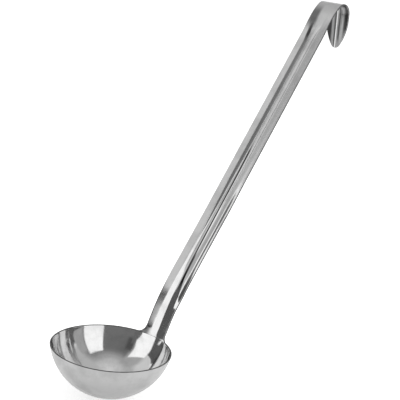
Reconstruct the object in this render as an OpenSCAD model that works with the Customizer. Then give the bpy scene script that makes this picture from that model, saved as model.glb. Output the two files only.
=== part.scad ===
// Soup ladle pressed from one sheet of stainless steel, sizes in mm.
// Z points up with the rim level, the handle leans towards +X and the width runs along Y.
// The origin is the seat in the hook, where the ladle hangs on a rail.
// The sheet is divided where its forming changes: bowl, neck, handle and hook.

/* [Bowl] */
// Outer radius of the bowl at the rim
bowl_rim_r = 45; // [38:0.5:60]
// Depth of the bowl from the rim to the outside of its bottom
bowl_depth = 37; // [25:0.5:38]
// Thickness of the steel sheet
sheet_t = 1.2; // [0.8:0.1:2]

/* [Neck] */
// Length of the neck along the handle
neck_len = 60; // [40:1:90]
// How far the flat edges of the handle start inside the rim's outer edge
neck_set = 1; // [0:0.1:3]
// Lean of the handle from upright where it leaves the rim, degrees
neck_lean = 20.5; // [10:0.5:28]
// Height over which the curved wall changes into the handle
neck_blend = 9; // [5:0.5:15]
// Fillet between the rim and the edges of the handle
neck_fillet = 4.5; // [2:0.5:8]

/* [Handle] */
// Width of the handle
handle_w = 22; // [18:0.5:30]
// Length of the handle from the neck to the hook
handle_len = 233; // [150:1:320]
// Lean of the straight handle from upright, degrees
handle_lean = 32.2; // [29:0.1:40]

/* [Channel] */
// Depth of the channel pressed into the handle
channel_depth = 2.4; // [1.5:0.1:3]
// Inside radius of the channel
channel_r = 6; // [4.5:0.1:7.5]
// Flat strip between the end of the channel and the hook
channel_end_gap = 0.8; // [0.4:0.1:5]

/* [Hook] */
// Inside radius of the gentle start of the hook
hook_lead_r = 42; // [25:1:60]
// Angle of the gentle start of the hook, degrees
hook_lead_angle = 16; // [8:1:25]
// Inside radius of the hook, the seat for the rail
hook_r = 8.2; // [5:0.1:15]
// Angle of the tight bend of the hook, degrees
hook_angle = 127; // [112:1:150]
// Length of the tongue beyond the bend
tongue_len = 28.5; // [18:0.5:45]
// Length over which the tongue keeps its full width
tongue_square = 4; // [1:0.5:8]
// Radius of the tip of the tongue
tongue_tip_r = 4.6; // [3:0.1:7]

/* [Hidden] */
$fn = 96;

steel = [0.77, 0.78, 0.79];

// The bowl is a cap of a sphere whose centre stands above the rim.
sphere_r = (bowl_rim_r * bowl_rim_r + bowl_depth * bowl_depth) / (2 * bowl_depth);
sphere_z = sphere_r - bowl_depth;
rim_in_r = sqrt(pow(sphere_r - sheet_t, 2) - sphere_z * sphere_z);
wall_lean = asin(sphere_z / sphere_r);

// Axis of the channel, in front of the flat strips, and its half width at the back of the sheet.
channel_c = channel_depth - channel_r;
channel_half = sqrt(pow(channel_r + sheet_t, 2) - channel_c * channel_c);

// Front plane of the flat strips along the handle: radius, x and z at the end of each stretch.
neck_r = neck_len / ((handle_lean - neck_lean) * PI / 180);
x0 = bowl_rim_r - neck_set;
x1 = x0 + neck_r * (cos(neck_lean) - cos(handle_lean));
z1 = neck_r * (sin(handle_lean) - sin(neck_lean));
x2 = x1 + handle_len * sin(handle_lean);
z2 = z1 + handle_len * cos(handle_lean);
lead_front_r = hook_lead_r + sheet_t;
lead_end = handle_lean + hook_lead_angle;
x3 = x2 + lead_front_r * (cos(handle_lean) - cos(lead_end));
z3 = z2 + lead_front_r * (sin(lead_end) - sin(handle_lean));
hook_front_r = hook_r + sheet_t;
seat_x = x3 + hook_front_r * cos(lead_end);
seat_z = z3 - hook_front_r * sin(lead_end);
hook_end = lead_end + hook_angle;
x4 = seat_x - hook_front_r * cos(hook_end);
z4 = seat_z + hook_front_r * sin(hook_end);

// Side arcs of the tongue, tangent to its straight edges and to its tip.
tip_y = tongue_len - tongue_tip_r;
side_rise = tip_y - tongue_square;
side_r = (handle_w * handle_w / 4 + side_rise * side_rise - tongue_tip_r * tongue_tip_r)
    / (handle_w - 2 * tongue_tip_r);
side_angle = atan2(side_rise, side_r - handle_w / 2);

// Number of steps of the neck across and along the sheet.
neck_across = 32;
neck_along = 20;

// Depth of the front of the sheet behind the flat strips, at the distance y from the middle.
function front_depth(y) = max(0, channel_c + sqrt(max(0, channel_r * channel_r - y * y)));

// Depth of the back of the sheet at the distance y from the middle.
function back_depth(y) =
    max(sheet_t, channel_c + sqrt(max(0, pow(channel_r + sheet_t, 2) - y * y)));

// Half of the neck's width at the distance s above the rim.
function neck_half(s) =
    s >= neck_fillet ? handle_w / 2
    : handle_w / 2 + neck_fillet - sqrt(pow(neck_fillet, 2) - pow(neck_fillet - s, 2));

function ease(u) = u >= 1 ? 1 : u * u * (3 - 2 * u);

// Point of the neck: it starts as the bowl's wall and turns into the channelled handle.
function neck_point(s, u, back) =
    let (
        y = u * neck_half(s),
        l = neck_lean + (handle_lean - neck_lean) * s / neck_len,
        d = back ? back_depth(u * handle_w / 2) : front_depth(u * handle_w / 2),
        r = back ? bowl_rim_r : rim_in_r,
        wall_x = sqrt(r * r - y * y) + s * sin(wall_lean),
        wall_z = s * cos(wall_lean),
        flat_x = x0 + neck_r * (cos(neck_lean) - cos(l)) + d * cos(l),
        flat_z = neck_r * (sin(l) - sin(neck_lean)) - d * sin(l),
        k = ease(s / neck_blend)
    )
    [(1 - k) * wall_x + k * flat_x, y, (1 - k) * wall_z + k * flat_z];

// Two triangles between four corners.
function two(a, b, c, d) = [[a, b, c], [a, c, d]];

// Places a stretch of the handle: its axis along local Z, the depth of the sheet along local Y.
module along(x, z, lean) {
    translate([x, 0, z])
        rotate([0, lean, 0])
            rotate([0, 0, -90])
                children();
}

// Bends a section whose depth runs along Y towards the back of the handle.
module bend(x, z, lean, front_r, angle) {
    translate([x + front_r * cos(lean), 0, z - front_r * sin(lean)])
        rotate([0, 180 + lean, 0])
            rotate([-90, 0, 0])
                rotate_extrude(angle = angle, $fn = 720)
                    translate([front_r, 0])
                        rotate(90)
                            children();
}

// Round-ended rod along the channel's axis, starting the distance before in front of the handle.
module channel_rod(r, before, len) {
    translate([0, channel_c, -before])
        cylinder(r = r, h = len + before);
    translate([0, channel_c, len])
        sphere(r = r);
}

// Section of the flat strip.
module flat_section() {
    translate([-handle_w / 2, 0])
        square([handle_w, sheet_t]);
}

// Outline of the tongue: straight edges, side arcs and a round tip.
module tongue_outline() {
    polygon(concat(
        [[-handle_w / 2, 0], [handle_w / 2, 0]],
        [for (i = [0:12])
            let (a = side_angle * i / 12)
            [handle_w / 2 - side_r + side_r * cos(a), tongue_square + side_r * sin(a)]],
        [for (i = [1:23])
            let (a = side_angle + (180 - 2 * side_angle) * i / 24)
            [tongue_tip_r * cos(a), tip_y + tongue_tip_r * sin(a)]],
        [for (i = [12:-1:0])
            let (a = side_angle * i / 12)
            [side_r - handle_w / 2 - side_r * cos(a), tongue_square + side_r * sin(a)]]
    ));
}

module bowl() {
    color(steel)
        translate([-seat_x, 0, -seat_z])
            intersection() {
                translate([0, 0, sphere_z])
                    difference() {
                        sphere(r = sphere_r);
                        sphere(r = sphere_r - sheet_t);
                    }
                translate([0, 0, -bowl_depth])
                    cylinder(r = bowl_rim_r + 20, h = bowl_depth);
            }
}

module neck() {
    n = neck_across;
    m = neck_along;
    row = n + 1;
    side = row * (m + 1);
    points = [
        for (b = [0, 1])
            for (j = [0:m])
                for (i = [0:n])
                    neck_point(neck_len * pow(j / m, 1.6), 2 * i / n - 1, b == 1)
    ];
    faces = concat(
        [for (j = [0:m - 1]) for (i = [0:n - 1])
            each two(j * row + i, j * row + i + 1, (j + 1) * row + i + 1, (j + 1) * row + i)],
        [for (j = [0:m - 1]) for (i = [0:n - 1])
            each two(side + j * row + i, side + (j + 1) * row + i,
                side + (j + 1) * row + i + 1, side + j * row + i + 1)],
        [for (j = [0:m - 1])
            each two(j * row, (j + 1) * row, side + (j + 1) * row, side + j * row)],
        [for (j = [0:m - 1])
            each two(j * row + n, side + j * row + n,
                side + (j + 1) * row + n, (j + 1) * row + n)],
        [for (i = [0:n - 1])
            each two(i, side + i, side + i + 1, i + 1)],
        [for (i = [0:n - 1])
            each two(m * row + i, m * row + i + 1,
                side + m * row + i + 1, side + m * row + i)]
    );
    color(steel)
        translate([-seat_x, 0, -seat_z])
            polyhedron(points = points, faces = faces, convexity = 6);
}

module handle() {
    run_len = handle_len - channel_half - channel_end_gap;
    color(steel)
        translate([-seat_x, 0, -seat_z])
            along(x1, z1, handle_lean)
                difference() {
                    union() {
                        translate([-handle_w / 2, 0, 0])
                            cube([handle_w, sheet_t, handle_len]);
                        intersection() {
                            translate([-handle_w / 2, sheet_t / 2, 0])
                                cube([handle_w, channel_depth + sheet_t, handle_len]);
                            channel_rod(channel_r + sheet_t, 0, run_len);
                        }
                    }
                    channel_rod(channel_r, 1, run_len);
                }
}

module hook() {
    color(steel)
        translate([-seat_x, 0, -seat_z])
            union() {
                bend(x2, z2, handle_lean, lead_front_r, hook_lead_angle)
                    flat_section();
                bend(x3, z3, lead_end, hook_front_r, hook_angle)
                    flat_section();
                along(x4, z4, hook_end)
                    translate([0, sheet_t, 0])
                        rotate([90, 0, 0])
                            linear_extrude(height = sheet_t)
                                tongue_outline();
            }
}

bowl();
neck();
handle();
hook();
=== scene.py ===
"""Looks of a pressed steel soup ladle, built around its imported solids.

One sheet of stainless steel makes the whole ladle. It is shaped here the way it is pressed: a flat
blank is cut to its outline, its edges are rounded and its channel is pressed in, then a Geometry
Nodes tree bends it along the handle's line and marries its foot with the wall of the bowl. The bowl,
the neck, the handle and the hook share their seams point for point. Sizes are in millimetres and
degrees, and the meshes are in metres. Left is +Y, as a person sees it who looks into the bowl.
"""

from __future__ import annotations

import logging
import math
from dataclasses import dataclass, field
from enum import Enum, IntEnum
from typing import Any, Sequence

import bmesh
import bpy
import numpy as np
from mathutils import Matrix, Vector

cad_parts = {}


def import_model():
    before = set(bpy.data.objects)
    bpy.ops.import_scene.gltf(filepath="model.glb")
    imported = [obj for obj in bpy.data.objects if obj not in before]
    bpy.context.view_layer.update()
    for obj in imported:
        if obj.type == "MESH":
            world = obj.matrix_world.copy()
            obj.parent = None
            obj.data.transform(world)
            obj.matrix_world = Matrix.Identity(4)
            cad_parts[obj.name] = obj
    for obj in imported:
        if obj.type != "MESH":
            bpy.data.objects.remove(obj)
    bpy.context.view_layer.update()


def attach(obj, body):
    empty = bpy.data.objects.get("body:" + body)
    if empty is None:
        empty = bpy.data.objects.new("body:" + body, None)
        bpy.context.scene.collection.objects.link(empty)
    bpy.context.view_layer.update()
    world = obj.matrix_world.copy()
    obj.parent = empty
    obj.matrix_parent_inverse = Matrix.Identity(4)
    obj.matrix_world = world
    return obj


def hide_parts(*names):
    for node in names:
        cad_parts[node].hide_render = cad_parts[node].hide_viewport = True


LOG = logging.getLogger("soup_ladle")
MM = 0.001
UM = 1e-6
# Metres: points closer than the first are one, and an edge shorter than the second is none.
MERGE_WITHIN = 1e-7
EDGE_LEAST = 1e-8
MATH = "ShaderNodeMath"
VECTOR = "ShaderNodeVectorMath"
JOIN = "ShaderNodeCombineXYZ"
SPLIT = "ShaderNodeSeparateXYZ"
RANGE = "ShaderNodeMapRange"
MIX = "ShaderNodeMix"
SMOOTH = {"interpolation_type": "SMOOTHSTEP"}
# Inputs of a mix node between its factor and its two colours, which are left alone.
TO_COLOURS = (None,) * 5


def linear(hex_colour: str) -> tuple[float, float, float, float]:
    """Turns an sRGB hex colour to linear.

    Args:
        hex_colour: Six hex digits with a leading #.

    Returns:
        Red, green, blue and an alpha of 1.
    """
    channels = [int(hex_colour[i : i + 2], 16) / 255 for i in (1, 3, 5)]
    r, g, b = (c / 12.92 if c <= 0.04045 else ((c + 0.055) / 1.055) ** 2.4 for c in channels)
    return (r, g, b, 1.0)


def smooth(share: Any) -> Any:
    """Softens a share at both its ends.

    Args:
        share: Number or array from 0 to 1.

    Returns:
        The softened share.
    """
    return share**2 * (3 - 2 * share)


def add_node(
    tree: bpy.types.NodeTree,
    kind: str,
    *given: Any,
    named: dict[str, Any] | None = None,
    **settings: Any,
) -> Any:
    """Adds a node, sets it up and fills its inputs.

    Args:
        tree: The tree that the node goes into.
        kind: The node's type name.
        *given: Values or output sockets for its inputs in order, with None for one that is left alone.
        named: Values or output sockets by the input's name.
        **settings: The node's own settings.

    Returns:
        The node's outputs.
    """
    node = tree.nodes.new(kind)
    for name, value in settings.items():
        setattr(node, name, value)
    for key, value in [*enumerate(given), *(named or {}).items()]:
        if isinstance(value, bpy.types.NodeSocket):
            tree.links.new(value, node.inputs[key])
        elif value is not None:
            node.inputs[key].default_value = value
    return node.outputs


def soft_mask(tree: bpy.types.NodeTree, *steps: tuple[Any, float, float]) -> Any:
    """Makes a mask that is 1 where every one of its steps is, with soft edges.

    Args:
        tree: The tree that the mask goes into.
        *steps: For each step the socket of a value, the value at 0 and the value at 1.

    Returns:
        Socket of the mask.
    """
    mask: Any = 1.0
    for value, off, on in steps:
        step = add_node(tree, RANGE, value, off, on, **SMOOTH)[0]
        mask = add_node(tree, MATH, mask, step, operation="MULTIPLY")[0]
    return mask


class Lay(Enum):
    """Which way the polishing lines of a finish run."""

    ACROSS_STRIP = "across the strip"
    ALONG_STRIP = "along the strip"
    ROUND_BOWL = "round the bowl"


class BowlFace(IntEnum):
    """Which of the bowl's steels a face gets."""

    INSIDE = 0
    OUTSIDE = 1
    EDGE = 2


@dataclass(frozen=True)
class PaintedLightLine:
    """A line of painted light drawn along the strip, dark for shade and bright for a highlight, in
    millimetres across and from the rim.

    Its full colour fills core_share of its half width, and from there it fades to its edge.
    """

    colour: str
    start_across: float
    end_across: float
    half_width: float
    start: float
    end: float
    fade: float
    core_share: float = 0.4

    def build(self, tree: bpy.types.NodeTree, colour: Any) -> bpy.types.NodeSocket:
        """Draws the line over a colour.

        Args:
            tree: The material's tree.
            colour: Socket of the steel's colour.

        Returns:
            Socket of the colour with the line.
        """
        across, along, _ = add_node(tree, SPLIT, add_node(tree, "ShaderNodeUVMap", uv_map="strip")[0])
        sizes = (self.start, self.end, self.start_across, self.end_across, self.half_width, self.fade)
        start, end, near, far, half, fade = (size * MM for size in sizes)
        middle = add_node(tree, RANGE, along, start, end, near, far)[0]
        off = add_node(tree, MATH, across, middle, operation="SUBTRACT")[0]
        off = add_node(tree, MATH, off, operation="ABSOLUTE")[0]
        side = (off, half, half * self.core_share)
        mask = soft_mask(tree, side, (along, start, start + fade), (along, end, end - fade))
        colours = (colour, linear(self.colour))
        return add_node(tree, MIX, mask, *TO_COLOURS, *colours, data_type="RGBA")[2]


@dataclass(frozen=True)
class SteelFinish:
    """A finish of the stainless steel sheet, with its marks in real millimetres and microns.

    Cold-rolled 18/10 steel is pressed first and polished afterwards on mops, so it keeps fine lines
    in the direction of the mop, a slow waviness from the pressing, and faint smears from handling.
    A mop's own lines are about 0.05 mm apart, too fine to show, so they are drawn 0.6 to 1.4 mm apart.
    A noise is a pair of detail and roughness, and a range gives where its pattern begins and is full.
    """

    name: str
    colour: str
    smear_colour: str
    roughness: float
    roughness_range: float
    lay: Lay
    line_mm: float
    line_length_mm: float
    line_height_um: float
    wave_mm: float
    wave_height_um: float
    smear_mm: float
    line_tint: float = 0.0
    rough_far: float = 0.0
    far_mm: tuple[float, float] = (50.0, 150.0)
    # Lines of painted shade and painted highlight laid over the colour.
    marks: tuple[PaintedLightLine, ...] = ()
    line_noise: tuple[float, float] = (3.0, 0.62)
    line_range: tuple[float, float] = (0.3, 0.6)
    wave_noise: tuple[float, float] = (1.5, 0.5)
    smear_noise: tuple[float, float] = (4.0, 0.6)
    smear_range: tuple[float, float] = (0.42, 0.68)
    smear_share: float = 0.4

    def build(self, bowl: Bowl) -> bpy.types.Material:
        """Makes the material.

        Args:
            bowl: The bowl, which lines may run round.

        Returns:
            The material.
        """
        material = bpy.data.materials.new(self.name)
        material.use_nodes = True
        tree = material.node_tree
        shader = tree.nodes["Principled BSDF"]
        at = add_node(tree, "ShaderNodeTexCoord")["Object"]
        lines, wave, smear = (
            add_node(
                tree,
                "ShaderNodeTexNoise",
                named={"Vector": place, "Scale": scale, "Detail": detail, "Roughness": fine},
                noise_dimensions="3D",
            )[0]
            for place, scale, detail, fine in (
                (self._line_place(tree, at, bowl), 1.0, *self.line_noise),
                (at, 1 / (self.wave_mm * MM), *self.wave_noise),
                (at, 1 / (self.smear_mm * MM), *self.smear_noise),
            )
        )
        patch = add_node(tree, RANGE, smear, *self.smear_range, **SMOOTH)[0]
        streak = add_node(tree, RANGE, lines, *self.line_range)[0]
        tint = add_node(tree, MIX, self.line_tint, None, patch, streak, data_type="FLOAT")[0]
        colours = (linear(self.colour), linear(self.smear_colour))
        colour = add_node(tree, MIX, tint, *TO_COLOURS, *colours, data_type="RGBA")[2]
        # Lays the lines of painted shade and painted highlight over the steel's colour.
        for mark in self.marks:
            colour = mark.build(tree, colour)
        share = add_node(tree, MIX, self.smear_share, None, streak, patch, data_type="FLOAT")[0]
        span = (self.roughness_range, self.roughness)
        rough = add_node(tree, MATH, share, *span, operation="MULTIPLY_ADD")[0]
        if self.rough_far:
            along = add_node(tree, SPLIT, add_node(tree, "ShaderNodeUVMap", uv_map="strip")[0])[1]
            start, end = (mm * MM for mm in self.far_mm)
            more = add_node(tree, RANGE, along, start, end, 0.0, self.rough_far, **SMOOTH)[0]
            rough = add_node(tree, MATH, rough, more, operation="ADD")[0]
        low = add_node(tree, MATH, wave, self.wave_height_um * UM, operation="MULTIPLY")[0]
        height = add_node(tree, MATH, lines, self.line_height_um * UM, low, operation="MULTIPLY_ADD")[0]
        relief = {"Strength": 1.0, "Distance": 1.0, "Height": height}
        bump = add_node(tree, "ShaderNodeBump", named=relief)[0]
        tree.links.new(colour, shader.inputs["Base Color"])
        tree.links.new(rough, shader.inputs["Roughness"])
        tree.links.new(bump, shader.inputs["Normal"])
        shader.inputs["Metallic"].default_value = 1.0
        return material

    def _line_place(self, tree: bpy.types.NodeTree, at: Any, bowl: Bowl) -> bpy.types.NodeSocket:
        """Where a point lies on the pattern of polishing lines.

        Args:
            tree: The material's tree.
            at: Socket of the object coordinates.
            bowl: The bowl.

        Returns:
            Socket of the place, with one line a unit.
        """
        fine, long = 1 / (self.line_mm * MM), 1 / (self.line_length_mm * MM)
        if self.lay is not Lay.ROUND_BOWL:
            on_strip = add_node(tree, "ShaderNodeUVMap", uv_map="strip")[0]
            scale = (long, fine, 1.0) if self.lay is Lay.ACROSS_STRIP else (fine, long, 1.0)
            return add_node(tree, VECTOR, on_strip, scale, operation="MULTIPLY")[0]
        centre = (-bowl.seat[0] * MM, 0.0, (bowl.sphere_z - bowl.seat[1]) * MM)
        from_centre = add_node(tree, VECTOR, at, centre, operation="SUBTRACT")[0]
        x, y, z = add_node(tree, SPLIT, from_centre)
        down = add_node(tree, MATH, z, -1.0 / (bowl.sphere_r * MM), operation="MULTIPLY")[0]
        polar = add_node(tree, MATH, down, operation="ARCCOSINE")[0]
        meridian = add_node(tree, MATH, polar, bowl.sphere_r * MM * fine, operation="MULTIPLY")[0]
        flat = add_node(tree, JOIN, x, y, 0.0)[0]
        spread = add_node(tree, VECTOR, flat, (long, long, 0.0), operation="MULTIPLY")[0]
        ring = add_node(tree, JOIN, 0.0, 0.0, meridian)[0]
        return add_node(tree, VECTOR, spread, ring, operation="ADD")[0]


@dataclass(frozen=True)
class Finishes:
    """The finishes that the ladle shows."""

    # Mop-polished inside of the bowl: close to a mirror, so the studio shows in it with crisp edges.
    inside: SteelFinish = SteelFinish(
        "stainless_steel_mirror_polished",
        colour="#DFDFDF", smear_colour="#D2D2D2", roughness=0.05, roughness_range=0.07,
        lay=Lay.ROUND_BOWL, line_mm=0.6, line_length_mm=9, line_height_um=0.3,
        wave_mm=20, wave_height_um=130, smear_mm=14,
    )
    # Satin outside of the bowl: fine lines round it blur what it reflects to an even grey.
    outside: SteelFinish = SteelFinish(
        "stainless_steel_satin",
        colour="#B2B2B2", smear_colour="#A4A4A4", roughness=0.30, roughness_range=0.10,
        lay=Lay.ROUND_BOWL, line_mm=0.9, line_length_mm=12, line_height_um=1.6,
        wave_mm=30, wave_height_um=30, smear_mm=18,
    )
    # Front of the strip: polished across its width, so lights smear a little along it.
    front: SteelFinish = SteelFinish(
        "stainless_steel_cross_polished",
        colour="#DCDCDC", smear_colour="#CFCFCF", roughness=0.05, roughness_range=0.07,
        lay=Lay.ACROSS_STRIP, line_mm=0.7, line_length_mm=7, line_height_um=0.8,
        wave_mm=30, wave_height_um=60, smear_mm=16, rough_far=0.12, far_mm=(80.0, 160.0),
        marks=(
            # Painted shade: dark lines in the crease at the channel's bottom, up the handle and
            # where the neck runs into it, standing for the dark reflection there.
            PaintedLightLine("#383838", -2.7, 0.5, 1.0, 60, 175, 14),
            PaintedLightLine("#404040", -4.0, -2.6, 1.8, 38, 76, 9),
            # Painted shade at the left fillet of the foot, darkening its corner.
            PaintedLightLine("#686868", 12.0, 12.0, 9.0, -4.0, 7.5, 3.0),
            # Painted shade where the channel runs out under the hook: a dark reflection on its left wall
            # and across its left side where the bend begins.
            PaintedLightLine("#5C5C5C", 3.5, 5.5, 1.6, 266, 291, 9),
            PaintedLightLine("#7C7C7C", 6.5, 8.0, 6.0, 278, 307, 12),
        ),
    )
    # Back of the strip, seen inside the hook: left as rolled and streaked lengthwise; its darker colour
    # is painted shade for the dark reflection inside the hook.
    back: SteelFinish = SteelFinish(
        "stainless_steel_as_rolled_painted_shade",
        colour="#A6A6A6", smear_colour="#6A6A6A", roughness=0.16, roughness_range=0.12,
        lay=Lay.ALONG_STRIP, line_mm=1.4, line_length_mm=60, line_height_um=16,
        wave_mm=24, wave_height_um=40, smear_mm=12, line_tint=0.8,
        marks=(
            # Inside the hook: painted shade for the dark reflection at its far left, and dark lines
            # along it.
            PaintedLightLine("#363636", 9.0, 7.5, 5.0, 309, 360, 8),
            PaintedLightLine("#505050", 1.9, 1.4, 1.0, 309, 356, 8),
            PaintedLightLine("#4E4E4E", -3.0, -2.4, 1.0, 309, 352, 8),
            PaintedLightLine("#454545", -9.5, -8.5, 2.4, 309, 345, 8),
            # Painted highlight: a bright reflection along the middle of the hook's inner face.
            PaintedLightLine("#E0E0E0", 0.3, 0.0, 0.42, 312, 358, 6),
        ),
    )
    # Blanked edge of the sheet: torn by the die and only tumbled, so it reads as a thin dark line.
    edge: SteelFinish = SteelFinish(
        "stainless_steel_blanked_edge",
        colour="#6A6A6A", smear_colour="#4E4E4E", roughness=0.38, roughness_range=0.15,
        lay=Lay.ROUND_BOWL, line_mm=0.8, line_length_mm=1.6, line_height_um=2,
        wave_mm=20, wave_height_um=10, smear_mm=6,
    )


@dataclass(frozen=True)
class Run:
    """A size that changes along the strip, as pairs of distance from the rim and value."""

    stops: tuple[tuple[float, float], ...]
    soft: float = 5.0
    samples: int = 13

    def at(self, s: np.ndarray | float) -> np.ndarray:
        """Reads the size, with its corners softened.

        Args:
            s: Distance from the rim.

        Returns:
            The size there.
        """
        s = np.asarray(s, float)
        places, values = zip(*self.stops)
        shifts = np.linspace(-self.soft, self.soft, self.samples)
        return np.mean([np.interp(s + shift, places, values) for shift in shifts], axis=0)


@dataclass(frozen=True)
class Section:
    """The strip's cross-section: crowned sides, a round channel between them, and rounded edges.

    Depths are measured backwards from the plane that the flat strip's front would lie in. The crowns,
    by which the sides fall away, the roll of the right edge and the rise of the right side are slopes
    in degrees, and each begins softly at its own distance from the middle line. The channel keeps a
    least depth where it runs out. It fills at most channel_share of a side, and the arc of its bottom
    at most knee_share of the channel.
    """

    width: float = 22.0
    thickness: float = 1.2
    edge_r: float = 0.38
    channel_edge_r: float = 1.6
    channel_depth: Run = Run(
        (
            (0, 0.57), (30, 0.58), (60, 0.5), (88, 0.55), (107, 0.9),
            (140, 1.5), (175, 1.7), (278, 1.7), (291, 0),
        ),
        soft=3.0,
    )
    channel_middle: Run = Run(((0, -1.2), (30, -1.2), (45, -1.4), (62, -0.9), (110, 0.0), (150, 0)))
    channel_left: Run = Run(
        ((0, 3.3), (45, 3.2), (62, 2.8), (92, 3.0), (112, 3.8), (140, 4.6), (272, 4.8), (288, 8.6)),
        soft=3.0,
    )
    channel_right: Run = Run(
        (
            (0, 12.5), (10, 12.2), (28, 10.5), (36, 7.6), (52, 5.0),
            (70, 4.2), (110, 4.2), (150, 5), (270, 5),
        ),
        soft=3.0,
    )
    channel_least: float = 1e-4
    channel_share: float = 0.97
    knee_share: float = 0.9
    forward: Run = Run(((0, 0.2), (8, 0.25), (28, 0.7), (60, 0.35), (100, 0.0)))
    crown_left: Run = Run(
        ((0, 5), (10, 2.9), (22, 2.35), (45, 2.35), (70, 5), (110, 6), (276, 6), (288, 0)), soft=2.0
    )
    crown_right: Run = Run(((0, 0.0), (30, 2.5), (95, 3.0), (125, 7), (275, 7), (290, 0.0)))
    crown_from: Run = Run(((0, 4.3), (10, 3.9), (22, 3.3), (45, 3.3), (58, 3.8), (72, 4.5)), soft=2.0)
    crown_soft: float = 0.3
    rise: Run = Run(((0, 7), (28, 7), (48, 4), (60, 0)))
    rise_from: float = -1.4
    rise_soft: float = 1.0
    roll: Run = Run(((0, 0), (22, 0), (32, 24), (60, 18.5), (112, 21.5), (135, 5), (275, 4), (288, 0)))
    roll_from: float = 7.6
    roll_reach: Run = Run(((0, 3.1), (50, 3.1), (62, 2.1)), soft=2.0)
    roll_soft: float = 0.3
    flat_steps: int = 9
    edge_steps: int = 5
    fillet_steps: int = 7
    round_steps: int = 14

    @property
    def half(self) -> float:
        """Half of the strip's width."""
        return self.width / 2

    @property
    def face_points(self) -> int:
        """Number of points across one face."""
        return 2 * (self.round_steps + self.fillet_steps + self.flat_steps) + 1

    def _channel(self, s: np.ndarray | float, left: np.ndarray | bool) -> tuple[np.ndarray, ...]:
        """The channel's arcs on one side of its middle.

        Args:
            s: Distance along the strip.
            left: True on the left of the middle.

        Returns:
            Depth, half width, radius of both arcs together, and their angle.
        """
        depth = np.maximum(self.channel_depth.at(s), self.channel_least)
        middle = self.channel_middle.at(s)
        half = np.where(left, self.channel_left.at(s) - middle, self.channel_right.at(s) + middle)
        angle = 2 * np.arctan(depth / half)
        return depth, half, half / np.sin(angle), angle

    def base(self, across: np.ndarray | float, s: np.ndarray | float) -> np.ndarray:
        """Depth of the front face without its channel.

        Args:
            across: Distance from the middle line.
            s: Distance along the strip.

        Returns:
            Depths in millimetres.
        """
        across = np.asarray(across, float)
        start = self.crown_from.at(s)
        out = np.clip(np.abs(across) - start, 0, self.half - start)
        crown = np.where(across > 0, self.crown_left.at(s), self.crown_right.at(s))
        over = np.clip(-across - self.roll_from, 0, self.roll_reach.at(s))
        roll = over**2 / (over + self.roll_soft)
        slope = np.tan(np.radians(self.roll.at(s)))
        right = np.clip(self.rise_from - across, 0, None)
        rise = np.tan(np.radians(self.rise.at(s))) * right**2 / (right + self.rise_soft)
        crowned = np.tan(np.radians(crown)) * out**2 / (out + self.crown_soft)
        return crowned + slope * roll - rise - self.forward.at(s)

    def channel(self, across: np.ndarray, s: np.ndarray | float, skin: float) -> np.ndarray:
        """Depth of the channel on a face of the sheet.

        Args:
            across: Distance from the middle line.
            s: Distance along the strip.
            skin: 0 for the front face and 1 for the back face.

        Returns:
            Depths in millimetres.
        """
        off = across - self.channel_middle.at(s)
        depth, half, both, angle = self._channel(s, off > 0)
        edge = self.channel_edge_r - self.thickness * skin
        bottom = both - edge
        away = np.abs(off)
        inner = depth - bottom + np.sqrt(np.maximum(0, bottom**2 - np.minimum(away, bottom) ** 2))
        outer = edge - np.sqrt(np.maximum(0, edge**2 - np.clip(half - away, 0, edge) ** 2))
        return np.where(away < bottom * np.sin(angle), inner, outer)

    def depth(self, across: np.ndarray, s: np.ndarray, skin: float) -> np.ndarray:
        """Depth of a face of the sheet.

        Args:
            across: Distance from the middle line.
            s: Distance along the strip.
            skin: 0 for the front face and 1 for the back face.

        Returns:
            Depths in millimetres.
        """
        return self.channel(across, s, skin) + self.base(across, s) + self.thickness * skin

    def across(self, half: float, skin: float, s: float) -> np.ndarray:
        """Places of the section's points across the strip.

        Args:
            half: Half of the flat width at this station.
            skin: 0 for the front face and 1 for the back face.
            s: Distance along the strip.

        Returns:
            Distances from the middle line, from right to left.
        """
        flat = self.half - self.edge_r
        middle = float(self.channel_middle.at(s))
        sides = []
        for sign, left in ((-1, False), (1, True)):
            _, width, both, angle = (float(v) for v in self._channel(s, left))
            reach = max(half, flat) - sign * middle
            width = min(width, self.channel_share * reach)
            bottom = both - self.channel_edge_r + self.thickness * skin
            knee = min(bottom * math.sin(angle), self.knee_share * width)
            stops = np.concatenate(
                [
                    np.linspace(0, knee, self.round_steps + 1),
                    np.linspace(knee, width, self.fillet_steps + 1)[1:],
                    np.linspace(width, reach, self.flat_steps + 1)[1:],
                ]
            )
            sides.append((middle + sign * stops) * min(1.0, half / flat))
        return np.concatenate([sides[0][:0:-1], sides[1]])

    def edge(self) -> np.ndarray:
        """Round of the sheet's edge from its front face to its back face, without its two ends.

        Returns:
            Rows of inset from the outline and depth.
        """
        e, t = self.edge_r, self.thickness
        a = np.linspace(0, math.pi / 2, self.edge_steps + 1)
        front = np.stack([e * (1 - np.sin(a)), e * (1 - np.cos(a))], 1)
        back = np.stack([front[::-1, 0], t - front[::-1, 1]], 1)
        return np.concatenate([front, back])[1:-1]

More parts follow.
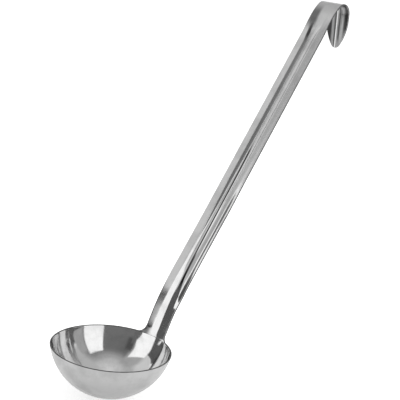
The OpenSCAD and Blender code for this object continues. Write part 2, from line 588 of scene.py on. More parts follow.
    def row(self, station: np.ndarray) -> np.ndarray:
        """The closed section at one station.

        Args:
            station: Half width, distance, and the outward direction of the outline.

        Returns:
            Rows of distance across, depth, distance along, skin from 0 to 1, and depth of the channel.
        """
        half, s, across_part, along_part = station
        inset_half, inset_s = half - self.edge_r * across_part, s - self.edge_r * along_part
        faces = []
        for skin in (0.0, 1.0):
            y = self.across(inset_half, skin, inset_s)
            along = np.full_like(y, inset_s)
            trough = self.channel(y, along, skin)
            depth = self.depth(y, along, skin)
            faces.append(np.stack([y, depth, along, np.full_like(y, skin), trough], 1))
        edge = self.edge()
        sides = []
        for sign in (1, -1):
            y = sign * (half - edge[:, 0] * across_part)
            along = s - edge[:, 0] * along_part
            skin = edge[:, 1] / self.thickness
            ends = np.array([sign * inset_half]), np.array([inset_s])
            front, behind = (float(self.channel(*ends, face)[0]) for face in (0.0, 1.0))
            trough = front + (behind - front) * skin
            back = edge[:, 1] + trough + float(self.base(*ends)[0])
            sides.append(np.stack([y, back, along, skin, trough], 1))
        return np.concatenate([faces[0], sides[0], faces[1][::-1], sides[1][::-1]])


@dataclass
class FormTree:
    """A Geometry Nodes tree that bends a flat blank along the ladle's line, with its foot on the bowl.

    A point's skin runs from 0 on the front face to 1 on the back face, and tells which steel it gets.
    The line is followed in steps of path_step, with a few points to spare past the hook's tip.
    """

    ladle: Ladle
    path_step: float = 0.05
    spare_points: int = 4
    back_from: float = 0.98
    edge_middle: float = 0.5
    edge_reach: float = 0.46

    def values(self) -> dict[str, float]:
        """The tree's sizes by input name, in metres and radians.

        Returns:
            Input name to value.
        """
        bowl, neck, handle, hook = self.ladle.bowl, self.ladle.neck, self.ladle.handle, self.ladle.hook
        return {
            "Step": self.path_step * MM,
            "Start Distance": (bowl.rim_r - neck.set_in) * MM,
            "Start Lean": math.radians(neck.lean),
            "Neck Length": neck.length * MM,
            "Neck Turn": math.radians(handle.lean - neck.lean),
            "Lead Start": hook.start * MM,
            "Lead Length": hook.lead_len * MM,
            "Lead Turn": math.radians(hook.lead_angle),
            "Bend Start": (hook.start + hook.lead_len) * MM,
            "Bend Length": hook.bend_len * MM,
            "Bend Turn": math.radians(hook.bend_angle),
            "Blend Length": neck.blend * MM,
            "Wall Lean": math.radians(bowl.wall_lean),
            "Flare Lean": math.radians(neck.lean),
            "Rim Inner Radius": bowl.rim_in_r * MM,
            "Rim Outer Radius": bowl.rim_r * MM,
            "Seat Distance": bowl.seat[0] * MM,
            "Seat Height": bowl.seat[1] * MM,
        }

    def build(self) -> bpy.types.NodeTree:
        """Makes the tree.

        Returns:
            The node tree.
        """
        tree = bpy.data.node_groups.new("form_strip", "GeometryNodeTree")
        sockets = [("Blank", "Geometry"), ("Path Points", "Int")]
        sockets += [(name, "Float") for name in self.values()]
        sockets += [(name, "Material") for name in ("Front Steel", "Back Steel", "Edge Steel")]
        for name, kind in sockets:
            tree.interface.new_socket(name, in_out="INPUT", socket_type=f"NodeSocket{kind}")
        tree.interface.new_socket("Formed", in_out="OUTPUT", socket_type="NodeSocketGeometry")
        given = add_node(tree, "NodeGroupInput")
        across, depth, along = add_node(tree, SPLIT, add_node(tree, "GeometryNodeInputPosition")[0])
        skin, trough = (
            add_node(tree, "GeometryNodeInputNamedAttribute", named={"Name": name}, data_type="FLOAT")[0]
            for name in ("skin", "trough")
        )
        lean = self._lean(tree, given, along)
        sine, cosine = (add_node(tree, MATH, lean, operation=name)[0] for name in ("SINE", "COSINE"))
        out = add_node(tree, MATH, depth, cosine, operation="MULTIPLY")[0]
        down = add_node(tree, MATH, depth, sine, operation="MULTIPLY")[0]
        fall = add_node(tree, MATH, 0.0, down, operation="SUBTRACT")[0]
        back = add_node(tree, JOIN, out, across, fall)[0]
        bent = add_node(tree, VECTOR, self._spot(tree, given, along), back, operation="ADD")[0]
        wall = self._wall(tree, given, across, along, skin, trough)
        reach = given["Blend Length"]
        foot = add_node(tree, RANGE, along, 0.0, reach, **SMOOTH)[0]
        mixed = add_node(tree, MIX, foot, None, None, None, wall, bent, data_type="VECTOR")[1]
        seat = add_node(tree, JOIN, given["Seat Distance"], 0.0, given["Seat Height"])[0]
        final = add_node(tree, VECTOR, mixed, seat, operation="SUBTRACT")[0]
        placed = {"Geometry": given["Blank"], "Position": final}
        shape = add_node(tree, "GeometryNodeSetPosition", named=placed)[0]
        shape = add_node(tree, "GeometryNodeRealizeInstances", shape)[0]
        behind = add_node(tree, MATH, skin, self.back_from, operation="GREATER_THAN")[0]
        rim = (self.edge_middle, self.edge_reach)
        middle = add_node(tree, MATH, skin, *rim, operation="COMPARE")[0]
        for steel, where in (("Front Steel", True), ("Back Steel", behind), ("Edge Steel", middle)):
            dress = {"Geometry": shape, "Selection": where, "Material": given[steel]}
            shape = add_node(tree, "GeometryNodeSetMaterial", named=dress)[0]
        add_node(tree, "NodeGroupOutput", shape)
        return tree

    def _lean(self, tree: bpy.types.NodeTree, given: Any, distance: Any) -> bpy.types.NodeSocket:
        """The strip's lean at a distance along it.

        Args:
            tree: The tree.
            given: The group input's sockets.
            distance: Socket of the distance along the strip.

        Returns:
            Socket of the lean.
        """
        total = given["Start Lean"]
        for start, length, turn in (
            (0.0, given["Neck Length"], given["Neck Turn"]),
            (given["Lead Start"], given["Lead Length"], given["Lead Turn"]),
            (given["Bend Start"], given["Bend Length"], given["Bend Turn"]),
        ):
            past = add_node(tree, MATH, distance, start, operation="SUBTRACT")[0]
            share = add_node(tree, MATH, past, length, operation="DIVIDE", use_clamp=True)[0]
            total = add_node(tree, MATH, share, turn, total, operation="MULTIPLY_ADD")[0]
        return total

    def _spot(self, tree: bpy.types.NodeTree, given: Any, along: Any) -> bpy.types.NodeSocket:
        """The place on the strip's line, by adding up short steps in the direction of its lean.

        Args:
            tree: The tree.
            given: The group input's sockets.
            along: Socket of the distance along the strip.

        Returns:
            Socket of the place.
        """
        step = given["Step"]
        count = {"Count": given["Path Points"]}
        line = add_node(tree, "GeometryNodeMeshLine", named=count, mode="OFFSET")[0]
        index = add_node(tree, "GeometryNodeInputIndex")[0]
        half_on = add_node(tree, MATH, index, 0.5, operation="ADD")[0]
        lean = self._lean(tree, given, add_node(tree, MATH, half_on, step, operation="MULTIPLY")[0])
        sine, cosine = (add_node(tree, MATH, lean, operation=name)[0] for name in ("SINE", "COSINE"))
        heading = add_node(tree, JOIN, sine, 0.0, cosine)[0]
        stride = add_node(tree, VECTOR, heading, named={"Scale": step}, operation="SCALE")[0]
        total = add_node(
            tree,
            "GeometryNodeAccumulateField",
            named={"Value": stride},
            data_type="FLOAT_VECTOR",
            domain="POINT",
        )["Trailing"]
        share = add_node(tree, MATH, along, step, operation="DIVIDE")[0]
        whole = add_node(tree, MATH, share, operation="FLOOR")[0]
        low = add_node(tree, MATH, whole, 0.0, operation="MAXIMUM")[0]
        high = add_node(tree, MATH, low, 1.0, operation="ADD")[0]
        before, after = (
            add_node(
                tree,
                "GeometryNodeSampleIndex",
                named={"Geometry": line, "Value": total, "Index": at},
                data_type="FLOAT_VECTOR",
                domain="POINT",
            )[0]
            for at in (low, high)
        )
        rest = add_node(tree, MATH, share, low, operation="SUBTRACT")[0]
        inputs = [rest, None, None, None, before, after]
        spot = add_node(tree, MIX, *inputs, data_type="VECTOR", clamp_factor=False)[1]
        start = add_node(tree, JOIN, given["Start Distance"], 0.0, 0.0)[0]
        return add_node(tree, VECTOR, spot, start, operation="ADD")[0]

    def _wall(
        self, tree: bpy.types.NodeTree, given: Any, across: Any, along: Any, skin: Any, trough: Any
    ) -> bpy.types.NodeSocket:
        """The place on the bowl's wall, carried on above the rim, with the channel running down into it.

        Args:
            tree: The tree.
            given: The group input's sockets.
            across: Socket of the distance from the middle line.
            along: Socket of the distance above the rim.
            skin: Socket of the skin from 0 to 1.
            trough: Socket of the channel's depth.

        Returns:
            Socket of the place.
        """
        inner = given["Rim Inner Radius"]
        sheet = add_node(tree, MATH, given["Rim Outer Radius"], inner, operation="SUBTRACT")[0]
        rim = add_node(tree, MATH, sheet, skin, inner, operation="MULTIPLY_ADD")[0]
        radius, height = add_node(tree, MATH, rim, trough, operation="ADD")[0], 0.0
        for lean, side in ((given["Wall Lean"], "MINIMUM"), (given["Flare Lean"], "MAXIMUM")):
            length = add_node(tree, MATH, along, 0.0, operation=side)[0]
            sine, cosine = (add_node(tree, MATH, lean, operation=name)[0] for name in ("SINE", "COSINE"))
            radius = add_node(tree, MATH, length, sine, radius, operation="MULTIPLY_ADD")[0]
            height = add_node(tree, MATH, length, cosine, height, operation="MULTIPLY_ADD")[0]
        squares = (
            add_node(tree, MATH, size, size, operation="MULTIPLY")[0] for size in (radius, across)
        )
        rest = add_node(tree, MATH, *squares, operation="SUBTRACT")[0]
        out = add_node(tree, MATH, rest, operation="SQRT")[0]
        return add_node(tree, JOIN, out, across, height)[0]

    def form(
        self, piece: bpy.types.Object, tree: bpy.types.NodeTree, steels: dict[str, bpy.types.Material]
    ) -> None:
        """Bends a blank into its place and leaves it a plain mesh.

        Args:
            piece: The blank.
            tree: The tree that build made.
            steels: The material of each face by the tree's input name.
        """
        modifier = piece.modifiers.new("form", "NODES")
        modifier.node_group = tree
        sockets = [item for item in tree.interface.items_tree if item.in_out == "INPUT"]
        inputs = {item.name: item.identifier for item in sockets}
        points = {"Path Points": int(self.ladle.hook.end / self.path_step) + self.spare_points}
        for name, value in {**self.values(), **points, **steels}.items():
            modifier[inputs[name]] = value
        bpy.context.view_layer.update()
        graph = bpy.context.evaluated_depsgraph_get()
        formed = bpy.data.meshes.new_from_object(piece.evaluated_get(graph))
        flat = piece.data
        piece.modifiers.remove(modifier)
        piece.data = formed
        bpy.data.meshes.remove(flat)
        formed.name = piece.name


@dataclass
class Part:
    """One of the four lengths of the pressing, which stands for a node of the solids.

    Where the channel runs down into the bowl's wall, it is trough_share as deep as in the flat strip.
    """

    name: str
    node: str
    section: Section = field(default_factory=Section)
    sharp_from: float = 50.0
    trough_share: float = 0.5

    def put(self, points: np.ndarray, faces: list[tuple[int, ...]]) -> bpy.types.Object:
        """Makes a mesh and puts it into the scene as an object at the origin.

        Args:
            points: Places of the points in metres.
            faces: Tuples of point numbers.

        Returns:
            The object.
        """
        mesh = bpy.data.meshes.new(self.name)
        mesh.from_pydata(points.tolist(), [], faces)
        piece = bpy.data.objects.new(self.name, mesh)
        bpy.context.scene.collection.objects.link(piece)
        return piece

    def finish(self, piece: bpy.types.Object) -> None:
        """Merges doubled points, turns faces outwards, smooths all but sharp edges and rides the body.

        Args:
            piece: The formed piece.
        """
        mesh = piece.data
        work = bmesh.new()
        work.from_mesh(mesh)
        bmesh.ops.remove_doubles(work, verts=work.verts, dist=MERGE_WITHIN)
        bmesh.ops.dissolve_degenerate(work, edges=work.edges, dist=EDGE_LEAST)
        bmesh.ops.recalc_face_normals(work, faces=work.faces)
        work.to_mesh(mesh)
        work.free()
        mesh.polygons.foreach_set("use_smooth", np.ones(len(mesh.polygons), bool))
        mesh.set_sharp_from_angle(angle=math.radians(self.sharp_from))
        mesh.update()
        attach(piece, "root")
        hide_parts(self.node)
        LOG.info("%s stands for %s: %d faces", piece.name, self.node, len(mesh.polygons))


@dataclass
class StripPart(Part):
    """A length of the strip, cut across at both ends or closed at its tip."""

    closed_tip: bool = False

    def stations(self) -> np.ndarray:
        """Rows of half width, distance from the rim, and the outward direction of the outline."""
        raise NotImplementedError

    def straight(self, stops: Sequence[float]) -> np.ndarray:
        """Stations along parallel sides.

        Args:
            stops: Distances from the rim.

        Returns:
            Rows as stations gives them.
        """
        s = np.asarray(stops, float)
        one = np.ones_like(s)
        return np.stack([one * self.section.half, s, one, one * 0], 1)

    def blank(self) -> bpy.types.Object:
        """Builds the flat blank.

        Returns:
            Its object, with the attributes skin and trough and a UV map in metres on the strip.
        """
        rows = np.stack([self.section.row(station) for station in self.stations()])
        count, around = rows.shape[:2]
        i, j = np.meshgrid(np.arange(count - 1), np.arange(around), indexing="ij")
        here, beside = i * around + j, i * around + (j + 1) % around
        quads = np.stack([here, beside, beside + around, here + around], -1)
        faces = [tuple(int(v) for v in q) for q in quads.reshape(-1, 4)]
        faces += self._cap(0, around, False)
        if not self.closed_tip:
            faces += self._cap((count - 1) * around, around, True)
        points = rows.reshape(-1, 5)
        piece = self.put(points[:, :3] * MM, faces)
        mesh = piece.data
        for name, values in (("skin", points[:, 3]), ("trough", points[:, 4] * self.trough_share * MM)):
            attribute = mesh.attributes.new(name, "FLOAT", "POINT")
            attribute.data.foreach_set("value", values.astype(np.float32))
        corners = np.zeros(len(mesh.loops), np.int32)
        mesh.loops.foreach_get("vertex_index", corners)
        places = (points[corners][:, [0, 2]] * MM).astype(np.float32)
        mesh.uv_layers.new(name="strip").data.foreach_set("uv", places.ravel())
        return piece

    def _cap(self, first: int, around: int, far: bool) -> list[tuple[int, ...]]:
        """Faces that close a cut across the sheet.

        Args:
            first: Number of the section's first point.
            around: Number of points in the section.
            far: True at the end away from the rim.

        Returns:
            Tuples of point numbers.
        """
        across = self.section.face_points
        edge = (around - 2 * across) // 2
        back = [first + across + edge + (across - 1 - j) for j in range(across)]
        faces = [(first + j, back[j], back[j + 1], first + j + 1) for j in range(across - 1)]
        left = [first + across - 1 + k for k in range(edge + 2)]
        right = [first + 2 * across + edge - 1 + k for k in range(edge + 1)] + [first]
        faces += [tuple(left[::-1]), tuple(right[::-1])]
        return [f[::-1] for f in faces] if far else faces

    def build(
        self, form: FormTree, tree: bpy.types.NodeTree, steels: dict[str, bpy.types.Material]
    ) -> None:
        """Builds the piece and dresses it.

        Args:
            form: What bends the blank.
            tree: Its node tree.
            steels: The material of each face by the tree's input name.
        """
        piece = self.blank()
        form.form(piece, tree, steels)
        self.finish(piece)


@dataclass
class Neck(StripPart):
    """The short curved length that rises from the rim, with a fillet on either side of its foot.

    Its line starts set_in inside the rim, and over the length blend its foot turns from the bowl's wall
    into that line.
    """

    name: str = "neck_pressing"
    node: str = "neck"
    length: float = 60.0
    lean: float = 20.5
    set_in: float = 1.0
    blend: float = 6.5
    fillet_r: float = 4.5
    fillet_steps: int = 26
    rise_steps: int = 76
    rise_power: float = 1.3

    @property
    def foot_half(self) -> float:
        """Half of the strip's width where its fillets meet the rim."""
        return self.section.half + self.fillet_r

    def stations(self) -> np.ndarray:
        """The outline from the rim up, with the fillets first.

        Returns:
            Rows of half width, distance from the rim, and the outward direction of the outline.
        """
        f, half = self.fillet_r, self.section.half
        a = np.radians(np.linspace(0, 90, self.fillet_steps + 1))
        foot = np.stack([half + f - f * np.sin(a), f - f * np.cos(a), np.sin(a), np.cos(a)], 1)
        rise = np.linspace(0, 1, self.rise_steps)[1:] ** self.rise_power * (self.length - f) + f
        return np.concatenate([foot, self.straight(rise)])


@dataclass
class Handle(StripPart):
    """The long straight length with its pressed channel."""

    name: str = "handle_channelled"
    node: str = "handle"
    start: float = Neck.length
    length: float = 233.0
    lean: float = 32.2
    end_zone: float = 34.0
    long_steps: int = 110
    end_steps: int = 52

    def stations(self) -> np.ndarray:
        """The parallel sides, with closer rows where the channel runs out.

        Returns:
            Rows of half width, distance from the rim, and the outward direction of the outline.
        """
        end = self.start + self.length
        long = np.linspace(self.start, end - self.end_zone, self.long_steps)
        return self.straight(np.concatenate([long, np.linspace(long[-1], end, self.end_steps)[1:]]))


@dataclass
class Hook(StripPart):
    """The bent end: a slow bend that leads in, the hook's own bend, and a tongue with a round tip."""

    name: str = "hook_bent"
    node: str = "hook"
    closed_tip: bool = True
    start: float = Handle.start + Handle.length
    lead_r: float = 42.0
    lead_angle: float = 16.0
    bend_r: float = 8.2
    bend_angle: float = 127.0
    tongue_len: float = 28.5
    tongue_square: float = 4.0
    tongue_tip_r: float = 4.6
    lead_steps: int = 31
    bend_steps: int = 71
    square_steps: int = 9
    side_steps: int = 41
    tip_steps: int = 19

    @property
    def lead_len(self) -> float:
        """Length of the slow bend, along the outer face."""
        return (self.lead_r + self.section.thickness) * math.radians(self.lead_angle)

    @property
    def bend_len(self) -> float:
        """Length of the hook's own bend, along the outer face."""
        return (self.bend_r + self.section.thickness) * math.radians(self.bend_angle)

    @property
    def tongue_start(self) -> float:
        """Distance from the rim to where the tongue leaves the bend."""
        return self.start + self.lead_len + self.bend_len

    @property
    def end(self) -> float:
        """Distance from the rim to the tip of the tongue."""
        return self.tongue_start + self.tongue_len

    def stations(self) -> np.ndarray:
        """The bends and the tongue, whose sides are arcs that run smoothly into its round tip.

        Returns:
            Rows of half width, distance from the rim, and the outward direction of the outline.
        """
        base = self.tongue_start + self.tongue_square
        lead = np.linspace(self.start, self.start + self.lead_len, self.lead_steps)
        bend = np.linspace(lead[-1], self.tongue_start, self.bend_steps)[1:]
        square = np.linspace(self.tongue_start, base, self.square_steps)[1:-1]
        half, tip_r = self.section.half, self.tongue_tip_r
        rise = self.tongue_len - tip_r - self.tongue_square
        side_r = (half**2 + rise**2 - tip_r**2) / (2 * half - 2 * tip_r)
        turn = math.atan2(rise, side_r - half)
        arcs = []
        for r, middle, foot, angles in (
            (side_r, half - side_r, base, np.linspace(0, turn, self.side_steps)),
            (tip_r, 0.0, base + rise, np.linspace(turn, math.pi / 2, self.tip_steps)[1:]),
        ):
            out, up = np.cos(angles), np.sin(angles)
            arcs.append(np.stack([middle + r * out, foot + r * up, out, up], 1))
        return np.concatenate([self.straight(np.concatenate([lead, bend, square])), *arcs])


@dataclass
class Bowl(Part):
    """The round bowl, part of a sphere, open where the neck leaves its rim.

    Its seat is the distance and the height of the hook's seat, the frame's origin, from the middle of
    the rim, which the ladle works out. Under the neck the channel fades out over trough_fade, and the
    wall leans out more than the sphere, by flare_slope at the rim and down to flare_depth.
    """

    name: str = "bowl_drawn"
    node: str = "bowl"
    rim_r: float = 45.0
    depth: float = 37.0
    seat: tuple[float, float] = (0.0, 0.0)
    trough_fade: float = 10.0
    flare_slope: float = 0.177
    flare_depth: float = 14.0
    flare_fade: float = 8.0
    free_columns: int = 260
    rings: int = 56
    ring_power: float = 1.15

    @property
    def sphere_r(self) -> float:
        """Outer radius of the sphere."""
        return (self.rim_r**2 + self.depth**2) / (2 * self.depth)

    @property
    def sphere_z(self) -> float:
        """Height of the sphere's centre above the rim."""
        return self.sphere_r - self.depth

    @property
    def rim_in_r(self) -> float:
        """Radius of the rim's inner edge."""
        return math.sqrt((self.sphere_r - self.section.thickness) ** 2 - self.sphere_z**2)

    @property
    def wall_lean(self) -> float:
        """Outward lean of the wall at the rim."""
        return math.degrees(math.asin(self.sphere_z / self.sphere_r))

    def _wall_r(self, skin: float, s: float) -> float:
        """Radius of the wall at the rim.

        Args:
            skin: 0 on the inner face and 1 on the outer face.
            s: Distance above the rim, along the wall.

        Returns:
            The radius.
        """
        r = self.rim_in_r + (self.rim_r - self.rim_in_r) * skin
        return r + s * math.sin(math.radians(self.wall_lean))

    def _ring(self, skin: float, s: float, radius: float, height: float, foot_half: float) -> np.ndarray:
        """One ring of points, first those across the neck and then those of the free rim.

        Args:
            skin: 0 on the inner face and 1 on the outer face.
            s: Distance above the rim that sets the angles of its columns.
            radius: Radius of the ring.
            height: Height of the ring above the rim.
            foot_half: Half of the neck's width at the rim.

        Returns:
            Places round the bowl's axis.
        """
        wall = self._wall_r(skin, s)
        across = self.section.across(foot_half, round(skin), s)
        edge = math.asin(foot_half / wall)
        free = np.linspace(edge, 2 * math.pi - edge, self.free_columns + 1)[1:-1]
        angles = np.concatenate([np.arcsin(across / wall), free])
        seam = -self.section.edge_r * math.cos(math.radians(self.wall_lean))
        fall = min(1.0, max(0.0, (seam - height) / self.trough_fade))
        push = np.zeros_like(angles)
        fade = self.trough_share * (1 - smooth(fall))
        deep = min(max(0.0, seam - height), self.flare_depth)
        flare = self.flare_slope * deep * (1 - deep / self.flare_depth) ** 2
        near = np.clip((foot_half - np.abs(across)) / self.flare_fade, 0, 1)
        trough = self.section.channel(across, s, round(skin)) * fade
        push[: len(across)] = trough - flare * smooth(near)
        y = radius * np.sin(angles)
        x = np.sign(np.cos(angles)) * np.sqrt((radius + push) ** 2 - y**2)
        return np.stack([x, y, np.full_like(angles, height)], 1)

    def _shell(self, skin: float, foot_half: float) -> list[np.ndarray]:
        """Rings of one face of the bowl, from its pole to its rim.

        Args:
            skin: 0 on the inner face and 1 on the outer face.
            foot_half: Half of the neck's width at the rim.

        Returns:
            The rings.
        """
        e, lean = self.section.edge_r, math.radians(self.wall_lean)
        radius = self.sphere_r - self.section.thickness * (1 - skin)
        top = math.acos((self.sphere_z + e * math.cos(lean)) / radius)
        rings = []
        for share in (1 - np.linspace(0, 1, self.rings + 1)[:-1] ** self.ring_power)[::-1]:
            r, h = radius * math.sin(top * share), self.sphere_z - radius * math.cos(top * share)
            if share == 1.0:
                r, h = self._wall_r(skin, -e), -e * math.cos(lean)
            rings.append(self._ring(skin, -e, r, h, foot_half))
        return rings

    def build(self, foot_half: float, steels: Sequence[bpy.types.Material]) -> None:
        """Builds the bowl and dresses it.

        Args:
            foot_half: Half of the neck's width at the rim.
            steels: Steel of the inside, the outside and the cut edge, as BowlFace counts them.
        """
        lean, thickness = math.radians(self.wall_lean), self.section.thickness
        inner, outer = self._shell(0.0, foot_half), self._shell(1.0, foot_half)[::-1]
        rim = []
        for inset, depth in self.section.edge():
            skin = depth / thickness
            radius, height = self._wall_r(skin, -inset), -inset * math.cos(lean)
            rim.append(self._ring(skin, -inset, radius, height, foot_half))
        rings = [*inner, *rim, *outer]
        columns, across = len(rings[0]), self.section.face_points
        first, last = len(inner) - 1, len(inner) + len(rim)
        faces: list[tuple[int, ...]] = []
        places: list[int] = []
        # Faces between the rings, with the rim's edge left out where the neck leaves it.
        for i in range(len(rings) - 1):
            place = BowlFace.INSIDE if i < first else BowlFace.OUTSIDE if i >= last else BowlFace.EDGE
            for j in range(columns):
                if first <= i < last and j < across - 1:
                    continue
                here, beside = i * columns + j, i * columns + (j + 1) % columns
                faces.append((here, beside, beside + columns, here + columns))
                places.append(place)
        # The cut across the sheet that meets the neck's foot, and its two ends.
        top, under = first * columns, last * columns
        faces += [(top + j, top + j + 1, under + j + 1, under + j) for j in range(across - 1)]
        for j, turn in ((0, 1), (across - 1, -1)):
            faces.append(tuple(i * columns + j for i in range(first, last + 1))[::turn])
        places += [BowlFace.EDGE] * (across + 1)
        # A fan round each pole.
        inside, outside = len(rings) * columns, len(rings) * columns + 1
        base = inside - columns
        faces += [(inside, (j + 1) % columns, j) for j in range(columns)]
        faces += [(outside, base + j, base + (j + 1) % columns) for j in range(columns)]
        places += [BowlFace.INSIDE] * columns + [BowlFace.OUTSIDE] * columns
        poles = [[0, 0, thickness - self.depth], [0, 0, -self.depth]]
        points = np.concatenate([*rings, poles]) - np.array([self.seat[0], 0, self.seat[1]])
        piece = self.put(points * MM, faces)
        for steel in steels:
            piece.data.materials.append(steel)
        piece.data.polygons.foreach_set("material_index", np.array(places, np.int32))
        self.finish(piece)


@dataclass
class Ladle:
    """The whole pressing."""

    bowl: Bowl = field(default_factory=Bowl)
    neck: Neck = field(default_factory=Neck)
    handle: Handle = field(default_factory=Handle)
    hook: Hook = field(default_factory=Hook)
    finishes: Finishes = field(default_factory=Finishes)

    def __post_init__(self) -> None:
        """Follows the strip's line from the rim to the middle of the hook's bend, which is the seat."""
        neck, handle, hook = self.neck, self.handle, self.hook
        rises, leans = math.radians(neck.lean), math.radians(handle.lean)
        bends = leans + math.radians(hook.lead_angle)
        neck_r = neck.length / (leans - rises)
        lead_r, bend_r = (r + hook.section.thickness for r in (hook.lead_r, hook.bend_r))
        out = self.bowl.rim_r - neck.set_in + handle.length * math.sin(leans)
        up = handle.length * math.cos(leans)
        for r, start, end in ((neck_r, rises, leans), (lead_r, leans, bends)):
            out += r * (math.cos(start) - math.cos(end))
            up += r * (math.sin(end) - math.sin(start))
        self.bowl.seat = (out + bend_r * math.cos(bends), up - bend_r * math.sin(bends))

    def build(self) -> None:
        """Builds every piece."""
        looks = self.finishes
        inside, outside, front, back, edge = (
            finish.build(self.bowl)
            for finish in (looks.inside, looks.outside, looks.front, looks.back, looks.edge)
        )
        form = FormTree(self)
        tree = form.build()
        steels = {"Front Steel": front, "Back Steel": back, "Edge Steel": edge}
        for part in (self.neck, self.handle, self.hook):
            part.build(form, tree, steels)
        self.bowl.build(self.neck.foot_half, [inside, outside, edge])


@dataclass(frozen=True)
class PhotoCamera:
    """The camera, fitted to the outline of the ladle in the photograph.

    It looks from azimuth and elevation at the middle of the rim, and yaw, pitch and roll turn it from
    there.
    """

    azimuth: float = -44.5479
    elevation: float = 22.0854
    distance: float = 770.8323
    yaw: float = 3.9364
    pitch: float = -8.5764
    roll: float = -6.6965
    focal_px: float = 1034.1717
    image_px: float = 400.0
    sensor_mm: float = 36.0
    clip_m: tuple[float, float] = (0.01, 50.0)

    def build(self, bowl: Bowl) -> None:
        """Places the camera.

        Args:
            bowl: The bowl, whose rim's centre the camera is fitted from.
        """
        a, e = math.radians(self.azimuth), math.radians(self.elevation)
        back = Vector((math.sin(a) * math.cos(e), -math.cos(a) * math.cos(e), math.sin(e)))
        right = (-back).cross(Vector((0, 0, 1))).normalized()
        level = Matrix((right, right.cross(-back), back))
        turns = ((self.roll, "Z"), (self.yaw, "Y"), (self.pitch, "X"))
        roll, yaw, pitch = (Matrix.Rotation(math.radians(angle), 3, axis) for angle, axis in turns)
        data = bpy.data.cameras.new("photo_camera")
        data.sensor_width = self.sensor_mm
        data.lens = self.focal_px / self.image_px * self.sensor_mm
        data.clip_start, data.clip_end = self.clip_m
        camera = bpy.data.objects.new("photo_camera", data)
        spot = (back * self.distance - Vector((bowl.seat[0], 0, bowl.seat[1]))) * MM
        turned = (roll @ yaw @ pitch @ level).transposed().to_4x4()
        camera.matrix_world = Matrix.Translation(spot) @ turned
        bpy.context.scene.collection.objects.link(camera)
        bpy.context.scene.camera = camera


@dataclass(frozen=True)
class SoftPanel:
    """A soft box or a dark flag of the studio, by its place round the ladle in degrees.

    Azimuth 0 is along +Y and 90 along +X. The top may slope with the azimuth and the sides with the
    height.
    """

    azimuth: float
    half_width: float
    bottom: float
    top: float
    level: float
    soft: float = 2.0
    top_slope: float = 0.0
    side_slope: float = 0.0


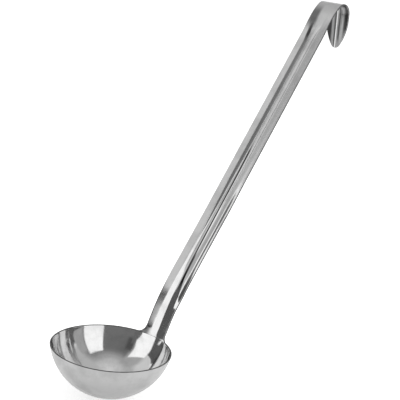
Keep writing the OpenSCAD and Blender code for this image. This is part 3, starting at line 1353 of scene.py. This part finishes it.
@dataclass
class Studio:
    """A pale floor and a soft room of light walls, with soft boxes, dark flags and a dark side.

    A side is pairs of degrees above the horizon and brightness. The dark side lies behind the camera,
    and dark_facing gives the cosines where it begins and is full. A later panel lies over an earlier
    one.
    """

    camera_azimuth: float = -135.0
    dark_side: tuple[tuple[float, float], ...] = (
        (0, 0.20), (45, 0.19), (50, 0.23), (55, 0.33), (60, 0.43), (70, 0.60), (80, 0.72), (90, 0.80),
    )
    light_side: tuple[tuple[float, float], ...] = (
        (0, 1.0), (18, 0.95), (32, 0.60), (45, 0.50), (60, 0.52), (75, 0.66), (90, 0.80),
    )
    panels: tuple[SoftPanel, ...] = (
        SoftPanel(-17, 24, 22, 50, 0.74, soft=12),
        SoftPanel(-66, 20, 20, 62, 0.46, soft=10),
        SoftPanel(101, 16, -10, 44, 0.86, soft=6),
        SoftPanel(124, 20, 26, 76, 0.56, soft=14),
        SoftPanel(-92, 9, 16, 40, 0.10, soft=8),
        SoftPanel(-12, 20.5, -10, 22, 1.12, soft=4),
        SoftPanel(-39, 7, -10, 22, 0.12, soft=2.5, top_slope=-0.15),
        SoftPanel(-24, 27.6, 4.5, 21, 0.12, soft=2.5, side_slope=1.1),
        SoftPanel(134, 8, -10, 20, 0.09, soft=6),
        SoftPanel(151, 10, -10, 42, 0.44, soft=5),
        SoftPanel(-61.5, 18, -10, 40.2, 1.25, soft=1.5, top_slope=-0.58),
        SoftPanel(-75, 17, -14, 11.5, 0.17, soft=2.5, top_slope=-0.9),
        SoftPanel(-173, 20, -10, 50, 1.25, soft=1.5, side_slope=0.1),
    )
    dark_facing: tuple[float, float] = (0.05, 0.62)
    floor_colour: str = "#F2F2F2"
    floor_roughness: float = 0.9
    floor_lift: float = 0.6
    floor_gap: float = 0.05
    floor_reach_m: float = 30.0
    lamp_size_m: float = 2.4
    lamp_place_m: tuple[float, float, float] = (0.2, 0.3, 2.2)
    lamp_energy: float = 20.0

    def build(self, bowl: Bowl) -> None:
        """Makes the floor, the room and the lamp.

        Args:
            bowl: The bowl, which stands on the floor.
        """
        self._floor(-bowl.seat[1] - bowl.depth - self.floor_gap)
        self._room()
        self._lamp()

    def _floor(self, height: float) -> None:
        """A plain pale floor under the bowl, lifted towards white where it is seen.

        Args:
            height: Height of the floor.
        """
        mesh = bpy.data.meshes.new("floor")
        far = self.floor_reach_m
        corners = [(x * far, y * far, height * MM) for x, y in ((-1, -1), (1, -1), (1, 1), (-1, 1))]
        mesh.from_pydata(corners, [], [(0, 1, 2, 3)])
        # Matt white painted board: an even pale ground without gloss.
        material = bpy.data.materials.new("painted_board_matt_white")
        material.use_nodes = True
        tree = material.node_tree
        board = tree.nodes["Principled BSDF"]
        board.inputs["Base Color"].default_value = linear(self.floor_colour)
        board.inputs["Roughness"].default_value = self.floor_roughness
        board.inputs["Specular IOR Level"].default_value = 0.0
        board.inputs["Emission Color"].default_value = (1, 1, 1, 1)
        path = add_node(tree, "ShaderNodeLightPath")
        seen = path["Is Camera Ray"]
        for ray in ("Is Glossy Ray", "Is Transmission Ray"):
            seen = add_node(tree, MATH, seen, path[ray], operation="MAXIMUM")[0]
        lift = add_node(tree, MATH, seen, self.floor_lift, operation="MULTIPLY")[0]
        tree.links.new(lift, board.inputs["Emission Strength"])
        mesh.materials.append(material)
        floor = bpy.data.objects.new("floor", mesh)
        bpy.context.scene.collection.objects.link(floor)

    def _ramp(self, tree: bpy.types.NodeTree, height: Any, stops: Sequence[tuple[float, float]]) -> Any:
        """Brightness of a wall by height above the horizon.

        Args:
            tree: The world's tree.
            height: Socket of the height as a share of a right angle.
            stops: Pairs of degrees and brightness.

        Returns:
            Socket of the brightness.
        """
        out = add_node(tree, "ShaderNodeValToRGB", height)[0]
        band = out.node.color_ramp
        band.interpolation = "EASE"
        while len(band.elements) < len(stops):
            band.elements.new(0.5)
        for element, (degrees, level) in zip(band.elements, stops):
            element.position = degrees / 90
            element.color = (level, level, level, 1)
        return out

    def _room(self) -> None:
        """The room as the world: walls and panels by direction, and white where the camera sees it."""
        world = bpy.data.worlds.new("studio_room")
        bpy.context.scene.world = world
        world.use_nodes = True
        tree = world.node_tree
        way = add_node(tree, "ShaderNodeTexCoord")["Generated"]
        way = add_node(tree, VECTOR, way, operation="NORMALIZE")[0]
        height = add_node(tree, MATH, add_node(tree, SPLIT, way)[2], operation="ARCSINE")[0]
        level = add_node(tree, VECTOR, way, (1.0, 1.0, 0.0), operation="MULTIPLY")[0]
        level = add_node(tree, VECTOR, level, operation="NORMALIZE")[0]
        turn = math.radians(self.camera_azimuth)
        away = (math.sin(turn), math.cos(turn), 0.0)
        facing = add_node(tree, VECTOR, level, away, operation="DOT_PRODUCT")["Value"]
        behind = add_node(tree, RANGE, facing, *self.dark_facing, **SMOOTH)[0]
        share = add_node(tree, MATH, height, 2 / math.pi, operation="MULTIPLY")[0]
        walls = [self._ramp(tree, share, stops) for stops in (self.light_side, self.dark_side)]
        light = add_node(tree, MIX, behind, None, *walls, data_type="FLOAT")[0]
        for panel in self.panels:
            light = self._add_panel(tree, panel, way, height, light)
        camera = add_node(tree, "ShaderNodeLightPath")["Is Camera Ray"]
        seen = add_node(tree, MIX, camera, None, light, 1.0, data_type="FLOAT")[0]
        tree.links.new(seen, tree.nodes["Background"].inputs["Color"])

    def _add_panel(
        self, tree: bpy.types.NodeTree, panel: SoftPanel, way: Any, height: Any, light: Any
    ) -> Any:
        """Lays a panel over the room.

        Args:
            tree: The world's tree.
            panel: The panel.
            way: Socket of the direction.
            height: Socket of the height in radians.
            light: Socket of the room so far.

        Returns:
            Socket of the room with the panel.
        """
        turn = math.radians(panel.azimuth)
        half, top, bottom, blur = (
            math.radians(v) for v in (panel.half_width, panel.top, panel.bottom, panel.soft / 2)
        )
        aside, ahead = (
            add_node(tree, VECTOR, way, axis, operation="DOT_PRODUCT")["Value"]
            for axis in ((math.cos(turn), -math.sin(turn), 0.0), (math.sin(turn), math.cos(turn), 0.0))
        )
        off = add_node(tree, MATH, aside, ahead, operation="ARCTAN2")[0]
        leaning = add_node(tree, MATH, height, panel.side_slope, off, operation="MULTIPLY_ADD")[0]
        side = add_node(tree, MATH, leaning, operation="ABSOLUTE")[0]
        edge = add_node(tree, MATH, off, panel.top_slope, top, operation="MULTIPLY_ADD")[0]
        under = add_node(tree, MATH, edge, height, operation="SUBTRACT")[0]
        mask = soft_mask(
            tree,
            (side, half + blur, half - blur),
            (under, -blur, blur),
            (height, bottom - blur, bottom + blur),
        )
        return add_node(tree, MIX, mask, None, light, panel.level, data_type="FLOAT")[0]

    def _lamp(self) -> None:
        """A wide soft lamp overhead that evens out the floor and gives it its soft shadow."""
        data = bpy.data.lights.new("soft_overhead", "AREA")
        data.shape = "SQUARE"
        data.size = self.lamp_size_m
        data.energy = self.lamp_energy
        lamp = bpy.data.objects.new("soft_overhead", data)
        lamp.location = self.lamp_place_m
        lamp.visible_glossy = False
        bpy.context.scene.collection.objects.link(lamp)


def main() -> None:
    """Builds the camera, the ladle and its studio."""
    logging.basicConfig(level=logging.INFO, format="%(name)s: %(message)s")
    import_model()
    ladle = Ladle()
    PhotoCamera().build(ladle.bowl)
    ladle.build()
    Studio().build(ladle.bowl)
    bpy.context.scene.view_settings.view_transform = "Standard"


if __name__ == "__main__":
    main()
